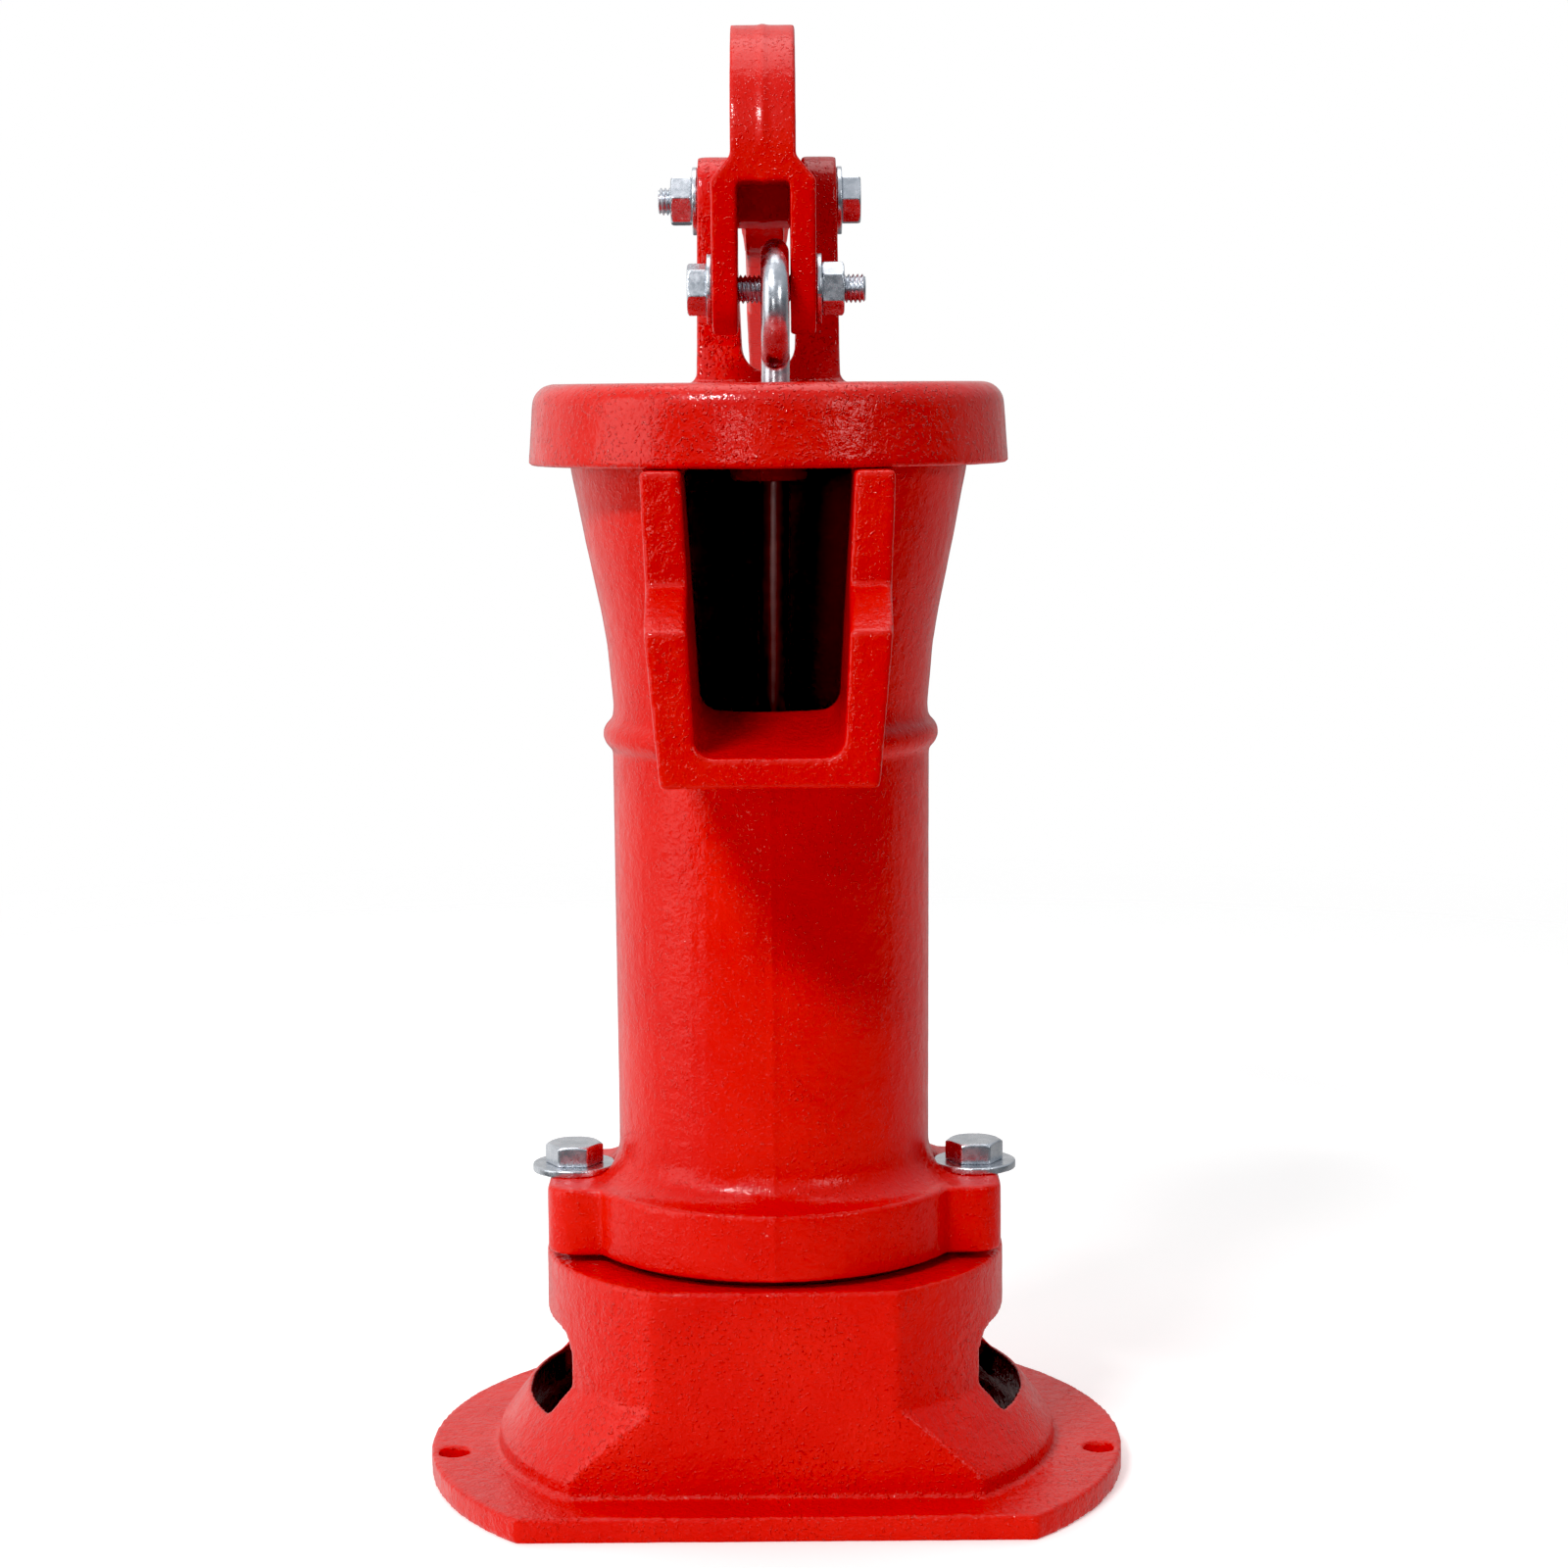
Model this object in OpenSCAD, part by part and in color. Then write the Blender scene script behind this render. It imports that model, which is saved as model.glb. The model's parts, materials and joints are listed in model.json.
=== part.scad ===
// Hand pitcher pump: cast-iron base, barrel with a trough spout, swivelling cap,
// forked handle, lift rod, cup-leather plunger and leather foot valve.
// Origin: on the barrel axis at floor level. +X right, -Y towards the spout, +Z up.
// The handle is at the top of its swing, so the plunger is at the bottom of its stroke.

/* [Base] */
// Radius of the round foot plate
plate_r = 99; // [96:1:104]
// Thickness of the foot plate
plate_t = 7; // [5:0.5:9]
// Distance from the axis to the straight front and rear edges of the plate
plate_flat_y = 70; // [66:1:76]
// Radius of each fixing hole in the plate
fix_hole_r = 4.3; // [3:0.1:5.5]
// Sideways distance from the axis to each fixing hole
fix_hole_x = 91.6; // [89:0.2:92]
// How far the fixing holes lie in front of the axis
fix_hole_front = 14; // [0:1:18]
// Outer radius of the foot of the skirt
skirt_r = 79.5; // [76:0.5:82]
// Outer radius of the neck
neck_r = 65; // [63:0.1:66]
// Height of the top face of the base
base_h = 64.7; // [62:0.1:68]
// Distance from the axis to the flat front and rear panels
panel_y = 56; // [53:0.5:58]
// Wall thickness of the hollow base
base_wall = 6; // [5:0.5:7]
// Width of each side window
window_w = 62; // [50:1:64]
// Height of the sill of each side window
window_z = 23.5; // [20:0.5:28]
// Bore radius of the suction thread (1 1/4 inch pipe)
suction_r = 19.3; // [15:0.1:20]

/* [Barrel] */
// Bore radius of the barrel (3 inch cylinder)
bore_r = 38; // [37:0.1:38.2]
// Outer radius of the barrel
barrel_r = 44; // [43.5:0.1:45]
// Thickness of the barrel's bottom flange and its ears
flange_t = 18.8; // [16:0.2:20]
// Radius of the bottom flange
flange_r = 54.5; // [53:0.5:56]
// Sideways distance from the axis to each flange bolt
flange_bolt_x = 57.1; // [56.5:0.1:57.5]
// Half the width of each ear
ear_half_w = 25; // [20:1:28]
// Height of the bead round the barrel
bead_z = 210.8; // [208:0.1:213]
// Height of the rim of the reservoir
rim_z = 299.7; // [299:0.1:299.7]

/* [Spout] */
// Distance from the axis to the face of the lip
lip_y = 95; // [90:1:97]
// Height of the bottom of the lip
lip_bottom_z = 205.9; // [204:0.1:208]
// Height of the top of the lip
lip_top_z = 245.7; // [243:0.1:247]
// Slope of the trough floor
trough_slope = 6.7; // [4:0.1:8]

/* [Cap] */
// Outer radius of the cap's rim
cap_r = 66.6; // [66:0.1:68]
// Height of the bottom edge of the cap's rim
cap_rim_z = 285.7; // [285.7:0.1:287]
// Height of the cap's top face
cap_top_z = 308; // [307:0.5:309]
// Radius of the hole that the lift rod passes through
rod_hole_r = 7; // [6.8:0.1:7.5]
// Radius of the rounded top of each lug
lug_r = 12.6; // [12:0.1:13]

/* [Handle] */
// Distance of the fulcrum behind the axis
fulcrum_y = 50.2; // [50:0.1:50.4]
// Height of the fulcrum
fulcrum_z = 360.7; // [360:0.1:361]
// Height of the rod pin
rod_pin_z = 333.8; // [333.5:0.1:334.2]
// Width of the arched strap
strap_w = 18; // [16:0.5:18]
// Width of the fork over both prongs
fork_w = 28.8; // [28:0.2:29.4]
// Width of the slot between the prongs
slot_w = 14.6; // [14.4:0.1:14.8]
// Thickness of the web under the strap
web_w = 10.8; // [10:0.2:13]
// Length of the grip, from the fulcrum to its tip
grip_len = 250; // [200:5:270]

/* [Pivot hardware] */
// Radius of both pivot bolts
pin_r = 4; // [3.95:0.01:4]
// Radial running clearance of a pivot bolt in its bore
pin_fit = 0.06; // [0.03:0.01:0.1]
// Width across flats of the pivot bolts and nuts
pin_af = 13; // [12.7:0.1:13]

/* [Rod and plunger] */
// Radius of the lift rod
rod_r = 4; // [3.8:0.1:4]
// Radius of the centre line of the rod's eye
eye_r = 14; // [14:0.1:14.2]
// How far the eye leans to the side of the axis
eye_x = 2.2; // [1.8:0.1:2.2]
// Height of the underside of the plunger at the bottom of its stroke
plunger_z = 112; // [110:0.5:114]
// Outer radius of the cup leather
cup_r = 37.65; // [36.7:0.05:37.65]

/* [Foot valve] */
// Radius of the leather flap
flap_r = 21; // [19:0.5:22]
// Radius of the valve port under the flap
port_r = 15; // [14:0.5:16]
// Thickness of the leather between base and barrel
leather_t = 2; // [1.8:0.1:2.2]

/* [Hidden] */
$fn = 96;
eps = 0.01;
far = 400;
enamel = [0.80, 0.05, 0.03];
zinc = [0.78, 0.79, 0.80];
hide = [0.45, 0.28, 0.14];
iron = [0.27, 0.26, 0.25];
bronze = [0.72, 0.53, 0.25];
// Gap kept between parts that move past each other.
gap = 0.3;
// Base.
hollow_top_z = 46;
neck_foot_z = 31.3;
window_corner_r = 7;
sill_t = 1.3;
skirt_top_z = 12;
boss_r = 27;
port_z = 48;
flange_bolt_r = 4.76;
flange_bolt_af = 14.3;
flange_bolt_head_h = 5.8;
flange_washer_r = 11.8;
flange_bolt_end_z = 51;
// Heights in the barrel.
barrel_z = base_h + leather_t;
ear_top_z = barrel_z + flange_t;
ear_x = 63.6;
ear_corner_r = 8;
wall_fillet_r = 9;
washer_t = 2;
bead_r = 4.5;
rim_r = 55.6;
// Half-widths of the spout: at the barrel rim, at the top of the lip, at its bottom.
spout_out = [33, 31.4, 27.8];
spout_in = [22.9, 19.0];
spout_top_z = 285.4;
spout_front_y = 72;
spout_wall_z = 256;
trough_floor_z = 213.7;
trough_corner_r = 5;
// Cap.
cap_under_z = rim_z + gap;
cap_shoulder_r = 6;
skirt_inner_r = 61;
cap_draft = 1.2;
guide_r = 11;
guide_z = 281;
lug_out = [20.7, 20];
lug_in = [7.8, 10];
saddle_z = 319;
set_screw_z = 292.6;
set_screw_r = 3;
set_screw_turn = 45;
set_screw_af = 10;
set_screw_head_h = 4;
// Rod pin and the arm between it and the fulcrum.
rod_pin_y = 3.6;
handle_x = -0.8;
eye_drop = 4.2;
eye_z = rod_pin_z - eye_drop;
pivot_washer_r = 9.75;
pivot_washer_t = 1.5;
pivot_head_h = 5.5;
pivot_nut_h = 6.3;
// Washer seats on the lugs, and how far each thread stands out of its nut.
pivot_seat_x = lug_out[1] + 0.2;
fulcrum_tip = 3.6;
rod_pin_tip = 5.9;
// Handle outline.
prong_r = 12.6;
arch_c = [27, 369];
arch_r = 39;
strap_t = 10;
crotch_z = 362.5;
slot_back_z = 353;
shoulder_z = [363, 369.4];
hub_r = 15;
hub_boss_r = 7.5;
hub_boss_half_w = 8.85;
grip_drop = 20;
grip_half_d = 8;
// Plunger, all heights measured from its underside.
follower_h = 8;
cup_base_t = 4;
cup_h = 20;
cup_t = 4;
cage_r = 32;
cage_base_t = 6;
cage_h = 38;
cage_hub_r = 11;
cage_hub_h = 12;
cage_port_r = 14;
cage_leg_r = 3.5;
hub_floor_t = 2;
poppet_r = 19;
poppet_t = 5;
lock_nut_h = 6.5;
rod_seat_r = rod_r + 0.2;
rod_foot_z = plunger_z + follower_h + cage_h;
rod_end_z = rod_foot_z - cage_hub_h + hub_floor_t + 0.2;
// The wire is drawn a little thinner where it is bent.
eye_wire_thinned = 0.08;
// Foot valve: the flap hinges where it leaves the ring of leather.
ring_in_r = 25;
ring_out_r = 50;
weight_r = 15.5;
weight_h = 8;
valve_bolt_r = 3;
flap_z = base_h + gap;
valve_bolt_af = 10;
valve_washer_r = 10.5;
valve_washer_t = 1.6;
valve_nut_h = 5;

// Points along an arc of a circle, for polygons.
function arc(c, r, a0, a1, n) =
    [for (i = [0 : n]) let (a = a0 + (a1 - a0) * i / n) [c[0] + r * cos(a), c[1] + r * sin(a)]];

// Extrudes an outline drawn in the YZ plane along X.
module side_extrude(w) {
    rotate([90, 0, 90]) linear_extrude(height = w, center = true) children();
}

// Extrudes an outline drawn in the XZ plane along Y.
module front_extrude(d) {
    rotate([90, 0, 0]) linear_extrude(height = d, center = true) children();
}

// Turns a part that stands along +Z so that it points along X at (y, z).
module along_x(y, z, x) {
    translate([x, y, z]) rotate([0, 90, 0]) children();
}

// Hexagonal prism with both ends chamfered as on a real nut or bolt head.
module hex_prism(af, h, lower = true) {
    r = af / 2 / cos(30);
    cut = r - af / 2;
    low = lower ? cut * 0.55 : 0;
    intersection() {
        cylinder(r = r, h = h, $fn = 6);
        rotate_extrude()
            polygon([[0, 0], [low > 0 ? af / 2 : r, 0], [r, low], [r, h - cut * 0.55],
                     [af / 2, h], [0, h]]);
    }
}

// Bolt with its head standing on z = 0 and its shank going down.
module hex_bolt(af, head_h, r, len) {
    hex_prism(af, head_h, false);
    translate([0, 0, -len]) cylinder(r = r, h = len + eps);
}

module hex_nut(af, h, r) {
    difference() {
        hex_prism(af, h);
        translate([0, 0, -1]) cylinder(r = r, h = h + 2);
    }
}

module washer(r_out, r_in, t) {
    difference() {
        cylinder(r = r_out, h = t);
        translate([0, 0, -1]) cylinder(r = r_in, h = t + 2);
    }
}

module both_sides(x) {
    for (s = [-1, 1]) translate([s * x, 0, 0]) children();
}

module keep_y(half) {
    intersection() {
        children();
        translate([-far / 2, -half, -far / 2]) cube([far, 2 * half, far]);
    }
}

// ---- base ----

module base_plate() {
    keep_y(plate_flat_y) cylinder(r = plate_r, h = plate_t);
}

module base_body() {
    keep_y(panel_y)
        rotate_extrude()
            polygon([[0, 0], [skirt_r, 0], [skirt_r, skirt_top_z], [neck_r, neck_foot_z],
                     [neck_r, base_h], [0, base_h]]);
}

module base_hollow() {
    inner_neck = neck_r - base_wall;
    keep_y(panel_y - base_wall)
        rotate_extrude()
            polygon([[0, -1], [skirt_r - base_wall, -1], [skirt_r - base_wall, skirt_top_z - 2],
                     [inner_neck, neck_foot_z - 2], [inner_neck, hollow_top_z],
                     [0, hollow_top_z]]);
}

// Outline of a side window, in the YZ plane: a level sill and two rounded top corners.
module window_outline() {
    half = window_w / 2;
    corner = half - window_corner_r;
    polygon(concat([[-half, window_z], [half, window_z]],
                   arc([corner, hollow_top_z - window_corner_r], window_corner_r, 0, 90, 6),
                   arc([-corner, hollow_top_z - window_corner_r], window_corner_r, 90, 180, 6)));
}

// The wall is thinned to an edge under each sill.
module base_windows() {
    sill_r = skirt_r + (window_z - skirt_top_z) * (neck_r - skirt_r) / (neck_foot_z - skirt_top_z);
    side_extrude(far) window_outline();
    keep_y(window_w / 2)
        rotate_extrude()
            polygon([[0, skirt_top_z - 2], [sill_r + 1.5, skirt_top_z - 2],
                     [sill_r - sill_t, window_z + eps], [0, window_z + eps]]);
}

module base() {
    color(enamel)
    difference() {
        union() {
            difference() {
                union() {
                    base_plate();
                    base_body();
                }
                base_hollow();
                base_windows();
            }
            cylinder(r = boss_r, h = base_h);
        }
        translate([0, 0, -1]) cylinder(r = suction_r, h = port_z + 1);
        cylinder(r = port_r, h = far);
        both_sides(flange_bolt_x)
            translate([0, 0, flange_bolt_end_z - 1]) cylinder(r = flange_bolt_r, h = far);
        both_sides(fix_hole_x)
            translate([0, -fix_hole_front, -1]) cylinder(r = fix_hole_r, h = plate_t + 2);
    }
}

// Ring of leather clamped between the base and the barrel.
module valve_gasket() {
    color(hide)
        translate([0, 0, base_h]) washer(ring_out_r, ring_in_r, leather_t);
}

// ---- barrel ----

module barrel_outside() {
    rotate_extrude()
        polygon(concat(
            [[0, barrel_z], [flange_r, barrel_z], [flange_r, ear_top_z]],
            arc([barrel_r + wall_fillet_r, ear_top_z + wall_fillet_r], wall_fillet_r, 260, 180, 8),
            arc([barrel_r - 1.5, bead_z], bead_r, -65, 65, 12),
            [[barrel_r, 218.6], [44.7, 226], [45.6, 236], [47.2, 245.5], [49.2, 255],
             [51.2, 264.7], [53.3, 276], [54.9, 284], [rim_r, 290], [rim_r, rim_z], [0, rim_z]]));
}

module barrel_inside() {
    rotate_extrude()
        polygon([[0, barrel_z - 1], [bore_r, barrel_z - 1], [bore_r, 214], [39.2, 226],
                 [40.4, 236], [42, 245.5], [44, 255], [46, 264.7], [48.2, 276], [49.6, 284],
                 [50.2, 290], [50.2, rim_z + 1], [0, rim_z + 1]]);
}

// Ears: the flange widened to a block with rounded corners round each bolt.
module barrel_ears() {
    translate([0, 0, barrel_z])
        for (s = [-1, 1]) {
            translate([s * (ear_x - 30), -(ear_half_w - ear_corner_r), 0])
                mirror([s < 0 ? 1 : 0, 0, 0])
                    cube([30, 2 * (ear_half_w - ear_corner_r), flange_t]);
            translate([s < 0 ? -ear_x + ear_corner_r : ear_x - 30, -ear_half_w, 0])
                cube([30 - ear_corner_r, 2 * ear_half_w, flange_t]);
            for (t = [-1, 1])
                translate([s * (ear_x - ear_corner_r), t * (ear_half_w - ear_corner_r), 0])
                    cylinder(r = ear_corner_r, h = flange_t);
        }
}

module spout_outside() {
    slope_rise = (lip_y - 30) * tan(trough_slope);
    intersection() {
        side_extrude(120)
            polygon([[-lip_y, lip_bottom_z], [-lip_y, lip_top_z], [-88, 249],
                     [-spout_front_y, spout_wall_z], [-spout_front_y, spout_top_z],
                     [-30, spout_top_z], [-30, lip_bottom_z + slope_rise]]);
        front_extrude(far)
            polygon([[-spout_out[2], lip_bottom_z], [spout_out[2], lip_bottom_z],
                     [spout_out[1], lip_top_z], [spout_out[0], spout_top_z],
                     [-spout_out[0], spout_top_z], [-spout_out[1], lip_top_z]]);
    }
}

// The trough's own cross-section, swept straight along its sloping floor.
module trough() {
    reach = 78;
    wall_h = 90;
    top = spout_in[0] + 0.6;
    low = spout_in[1];
    r = trough_corner_r;
    intersection() {
        translate([0, -lip_y, trough_floor_z])
            rotate([90 + trough_slope, 0, 0])
                translate([0, 0, -reach])
                    linear_extrude(height = reach + 10)
                        polygon(concat(
                            arc([low - r, r], r, -90, 0, 8),
                            [[top, wall_h], [-top, wall_h]],
                            arc([-(low - r), r], r, 180, 270, 8)));
        translate([-far / 2, -far / 2, 0]) cube([far, far, spout_top_z + 0.6]);
    }
}

module barrel() {
    color(enamel)
    difference() {
        union() {
            barrel_outside();
            barrel_ears();
            spout_outside();
        }
        barrel_inside();
        trough();
        // Bolt holes, and a spot face for each washer beside the foot of the wall.
        both_sides(flange_bolt_x) {
            translate([0, 0, barrel_z - 1]) cylinder(r = flange_bolt_r + gap, h = flange_t + 2);
            translate([0, 0, ear_top_z]) cylinder(r = flange_washer_r + gap, h = wall_fillet_r);
        }
    }
}

module flange_bolts() {
    top = ear_top_z + washer_t;
    color(zinc)
        both_sides(flange_bolt_x)
            translate([0, 0, top])
                hex_bolt(flange_bolt_af, flange_bolt_head_h, flange_bolt_r,
                         top - flange_bolt_end_z);
}

module flange_washers() {
    color(zinc)
        both_sides(flange_bolt_x)
            translate([0, 0, ear_top_z])
                washer(flange_washer_r, flange_bolt_r + gap, washer_t);
}

// ---- cap ----

module cap_shell() {
    top_r = cap_r - cap_draft - cap_shoulder_r;
    rotate_extrude()
        polygon(concat(
            [[rod_hole_r, guide_z], [guide_r, guide_z], [guide_r, cap_under_z],
             [skirt_inner_r, cap_under_z], [skirt_inner_r, cap_rim_z], [cap_r, cap_rim_z]],
            arc([top_r, cap_top_z - cap_shoulder_r], cap_shoulder_r, 0, 90, 10),
            [[rod_hole_r, cap_top_z]]));
}

module cap_lugs() {
    lug_top_z = fulcrum_z + lug_r;
    foot_z = cap_top_z - 6;
    intersection() {
        side_extrude(60)
            union() {
                translate([fulcrum_y, fulcrum_z]) circle(r = lug_r);
                polygon([[fulcrum_y - lug_r, fulcrum_z], [fulcrum_y - lug_r - 1, saddle_z],
                         [fulcrum_y - lug_r - 7, cap_top_z - 1], [fulcrum_y - lug_r - 7, foot_z],
                         [fulcrum_y + lug_r - 4, foot_z], [fulcrum_y + lug_r, cap_top_z - 3],
                         [fulcrum_y + lug_r, fulcrum_z]]);
            }
        front_extrude(far)
            difference() {
                polygon([[-lug_out[0] - 1.5, foot_z], [lug_out[0] + 1.5, foot_z],
                         [lug_out[0] + 1.5, cap_top_z], [lug_out[0], cap_top_z + 2],
                         [lug_out[1], lug_top_z], [-lug_out[1], lug_top_z],
                         [-lug_out[0], cap_top_z + 2], [-lug_out[0] - 1.5, cap_top_z]]);
                polygon([[-lug_in[0], saddle_z], [lug_in[0], saddle_z],
                         [lug_in[1], lug_top_z + 1], [-lug_in[1], lug_top_z + 1]]);
                translate([0, saddle_z]) circle(r = lug_in[0]);
            }
    }
}

module cap() {
    color(enamel)
    difference() {
        union() {
            cap_shell();
            cap_lugs();
        }
        along_x(fulcrum_y, fulcrum_z, -30) cylinder(r = pin_r + 0.2, h = 60);
        // Spot faces for the washers.
        for (x = [pivot_seat_x, -pivot_seat_x - 5])
            along_x(fulcrum_y, fulcrum_z, x) cylinder(r = pivot_washer_r + gap, h = 5);
        for (s = [-1, 1])
            rotate([0, 0, s * set_screw_turn])
                translate([0, 0, set_screw_z]) rotate([-90, 0, 0])
                    cylinder(r = set_screw_r, h = far);
    }
}

// Two square-ended hex set screws that lock the cap in any direction.
module cap_set_screws() {
    seat_r = cap_r - cap_draft / 2 + gap;
    tip_r = rim_r + gap;
    color(zinc)
        for (s = [-1, 1])
            rotate([0, 0, s * set_screw_turn])
                translate([0, seat_r + 3, set_screw_z]) rotate([-90, 0, 0])
                    hex_bolt(set_screw_af, set_screw_head_h, set_screw_r, seat_r + 3 - tip_r);
}

module fulcrum_bolt() {
    head_x = pivot_seat_x + pivot_washer_t;
    color(zinc)
        along_x(fulcrum_y, fulcrum_z, head_x) rotate([0, 0, 30])
            hex_bolt(pin_af, pivot_head_h, pin_r, 2 * head_x + pivot_nut_h + fulcrum_tip);
}

module fulcrum_nut() {
    nut_x = -pivot_seat_x - pivot_washer_t - pivot_nut_h;
    color(zinc)
        along_x(fulcrum_y, fulcrum_z, nut_x) rotate([0, 0, 25])
            hex_nut(pin_af, pivot_nut_h, pin_r);
}

module fulcrum_washers() {
    color(zinc)
        for (x = [pivot_seat_x, -pivot_seat_x - pivot_washer_t])
            along_x(fulcrum_y, fulcrum_z, x) washer(pivot_washer_r, pin_r, pivot_washer_t);
}

// ---- handle ----

// Unit vectors along the grip and square to it, in the YZ plane.
grip_u = [cos(grip_drop), -sin(grip_drop)];
grip_n = [sin(grip_drop), cos(grip_drop)];
fulcrum = [fulcrum_y, fulcrum_z];

// A point at distance s along the grip and height h above its centre line.
function on_grip(s, h) = fulcrum + s * grip_u + (h + grip_rise(s)) * grip_n;
// The grip lifts a little towards its tip.
function grip_rise(s) = s > 120 ? 12 * pow((s - 120) / 130, 2) : 0;
function grip_depth(s) = s < 200 ? grip_half_d : grip_half_d + 1.5 * sin(min(90, (s - 200) * 2));
grip_steps = [for (s = [70 : 10 : grip_len - 10]) s];

module grip_outline() {
    n = len(grip_steps);
    tip = grip_len - 10;
    polygon(concat(
        [for (i = [0 : n - 1]) on_grip(grip_steps[i], grip_depth(grip_steps[i]))],
        [for (a = [75 : -15 : -75]) on_grip(tip + 9.5 * cos(a), 9.5 * sin(a))],
        [for (i = [n - 1 : -1 : 0]) on_grip(grip_steps[i], -grip_depth(grip_steps[i]))]));
}

// Top of the hump: from the front of the fork, over the arch, down to the grip.
hump_end_a = 35;
// The hollow curve at its rear, which runs into the grip.
heel_r = 24;
heel_shift = [14, -17];
function hump_outer(inset) = concat(
    [[arch_c[0] - arch_r + inset, crotch_z]],
    arc(arch_c, arch_r - inset, 180, hump_end_a, 30),
    arc(arch_c + (arch_r + heel_r) * [cos(hump_end_a), sin(hump_end_a)] + heel_shift,
        heel_r + inset, 180 + hump_end_a, 250, 10));

module strap_outline() {
    polygon(concat(
        hump_outer(0),
        [on_grip(80, grip_half_d), on_grip(80, 0)],
        [for (i = [len(hump_outer(strap_t)) - 1 : -1 : 0]) hump_outer(strap_t)[i]]));
}

// Block that closes the top of the slot behind the prongs, as wide as the strap.
module slot_back_outline() {
    polygon([[9, crotch_z + 4], [12.5, slot_back_z], [27, slot_back_z - 1.5], [33, 360],
             [4, 395], [-2, 380]]);
}

// The underside is hollowed so that it clears the saddle of the lugs at full lift.
module web_outline() {
    relief_h = -6;
    polygon(concat(hump_outer(1), [on_grip(80, grip_half_d), on_grip(80, -grip_half_d),
                                   on_grip(58, -grip_half_d), on_grip(49, relief_h),
                                   on_grip(36, relief_h), on_grip(6, -hub_r + 0.2),
                                   [12, crotch_z]]));
    translate(fulcrum) circle(r = hub_r);
}

module fork_outline() {
    translate([rod_pin_y, rod_pin_z]) circle(r = prong_r);
    polygon([[rod_pin_y - prong_r, rod_pin_z], [arch_c[0] - arch_r, crotch_z],
             [arch_c[0] - arch_r, arch_c[1]], [-6, 380], [12, 380], [24, 369],
             [rod_pin_y + prong_r + 2, 352], [rod_pin_y + prong_r, rod_pin_z]]);
}

// Seen from above: the strap's full width, narrowing to the grip.
module handle_plan() {
    half = strap_w / 2;
    linear_extrude(height = far * 2)
        polygon([[-half, -60], [half, -60], [half, 66], [6.2, 98], [5.6, 180], [6.4, 240],
                 [8, 262], [8, 330], [-8, 330], [-8, 262], [-6.4, 240], [-5.6, 180],
                 [-6.2, 98], [-half, 66]]);
}

module handle_body() {
    half = fork_w / 2;
    // Fork: two prongs under sloping shoulders.
    difference() {
        intersection() {
            side_extrude(fork_w) fork_outline();
            front_extrude(far)
                polygon([[-half, 300], [half, 300], [half, shoulder_z[0]],
                         [strap_w / 2, shoulder_z[1]], [strap_w / 2, far], [-strap_w / 2, far],
                         [-strap_w / 2, shoulder_z[1]], [-half, shoulder_z[0]]]);
        }
        translate([-slot_w / 2, -50, 300]) cube([slot_w, 100, crotch_z - 300]);
    }
    intersection() {
        union() {
            side_extrude(strap_w) strap_outline();
            side_extrude(strap_w) grip_outline();
            side_extrude(strap_w) slot_back_outline();
        }
        handle_plan();
    }
    side_extrude(web_w) web_outline();
}

module handle() {
    color(enamel)
    difference() {
        union() {
            translate([handle_x, 0, 0]) handle_body();
            along_x(fulcrum_y, fulcrum_z, -hub_boss_half_w)
                cylinder(r = hub_boss_r, h = 2 * hub_boss_half_w);
        }
        along_x(fulcrum_y, fulcrum_z, -30) cylinder(r = pin_r + pin_fit, h = 60);
        along_x(rod_pin_y, rod_pin_z, -30) cylinder(r = pin_r + pin_fit, h = 60);
    }
}

module rod_pin_bolt() {
    left_x = handle_x - fork_w / 2 - pivot_washer_t;
    right_x = handle_x + fork_w / 2 + pivot_washer_t;
    color(zinc)
        translate([left_x, rod_pin_y, rod_pin_z]) rotate([0, -90, 0]) rotate([0, 0, 13])
            hex_bolt(pin_af, pivot_head_h, pin_r, right_x - left_x + pivot_nut_h + rod_pin_tip);
}

module rod_pin_nut() {
    right_x = handle_x + fork_w / 2 + pivot_washer_t;
    color(zinc)
        along_x(rod_pin_y, rod_pin_z, right_x) hex_nut(pin_af, pivot_nut_h, pin_r);
}

module rod_pin_washers() {
    color(zinc)
        for (x = [handle_x + fork_w / 2, handle_x - fork_w / 2 - pivot_washer_t])
            along_x(rod_pin_y, rod_pin_z, x) washer(pivot_washer_r, pin_r, pivot_washer_t);
}

// ---- rod and plunger ----

// Lift rod: one straight shank that leans from the plunger to the eye.
module piston_rod() {
    shank_top_z = eye_z - eye_r;
    lean = atan(eye_x / (shank_top_z - rod_foot_z));
    below = rod_foot_z - rod_end_z;
    color(zinc) {
        translate([0, 0, rod_foot_z]) rotate([0, lean, 0]) translate([0, 0, -below])
            cylinder(r = rod_r, h = below + (shank_top_z - rod_foot_z) / cos(lean));
        translate([eye_x, 0, eye_z]) rotate([0, 90, 0])
            rotate_extrude() translate([eye_r, 0]) circle(r = rod_r - eye_wire_thinned);
    }
}

module rod_lock_nut() {
    color(zinc)
        translate([0, 0, plunger_z + follower_h + cage_h]) hex_nut(pin_af, lock_nut_h, rod_seat_r);
}

module plunger_follower() {
    color(iron)
        translate([0, 0, plunger_z]) washer(cage_r, cage_port_r + 4, follower_h - cup_base_t);
}

module plunger_cup_leather() {
    z = plunger_z + follower_h - cup_base_t;
    color(hide)
        rotate_extrude()
            polygon([[cage_port_r + 4, z], [cup_r - 3, z], [cup_r, z + 3], [cup_r, z + cup_h],
                     [cup_r - cup_t + 1, z + cup_h], [cup_r - cup_t, z + cup_base_t],
                     [cage_port_r + 4, z + cup_base_t]]);
}

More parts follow.
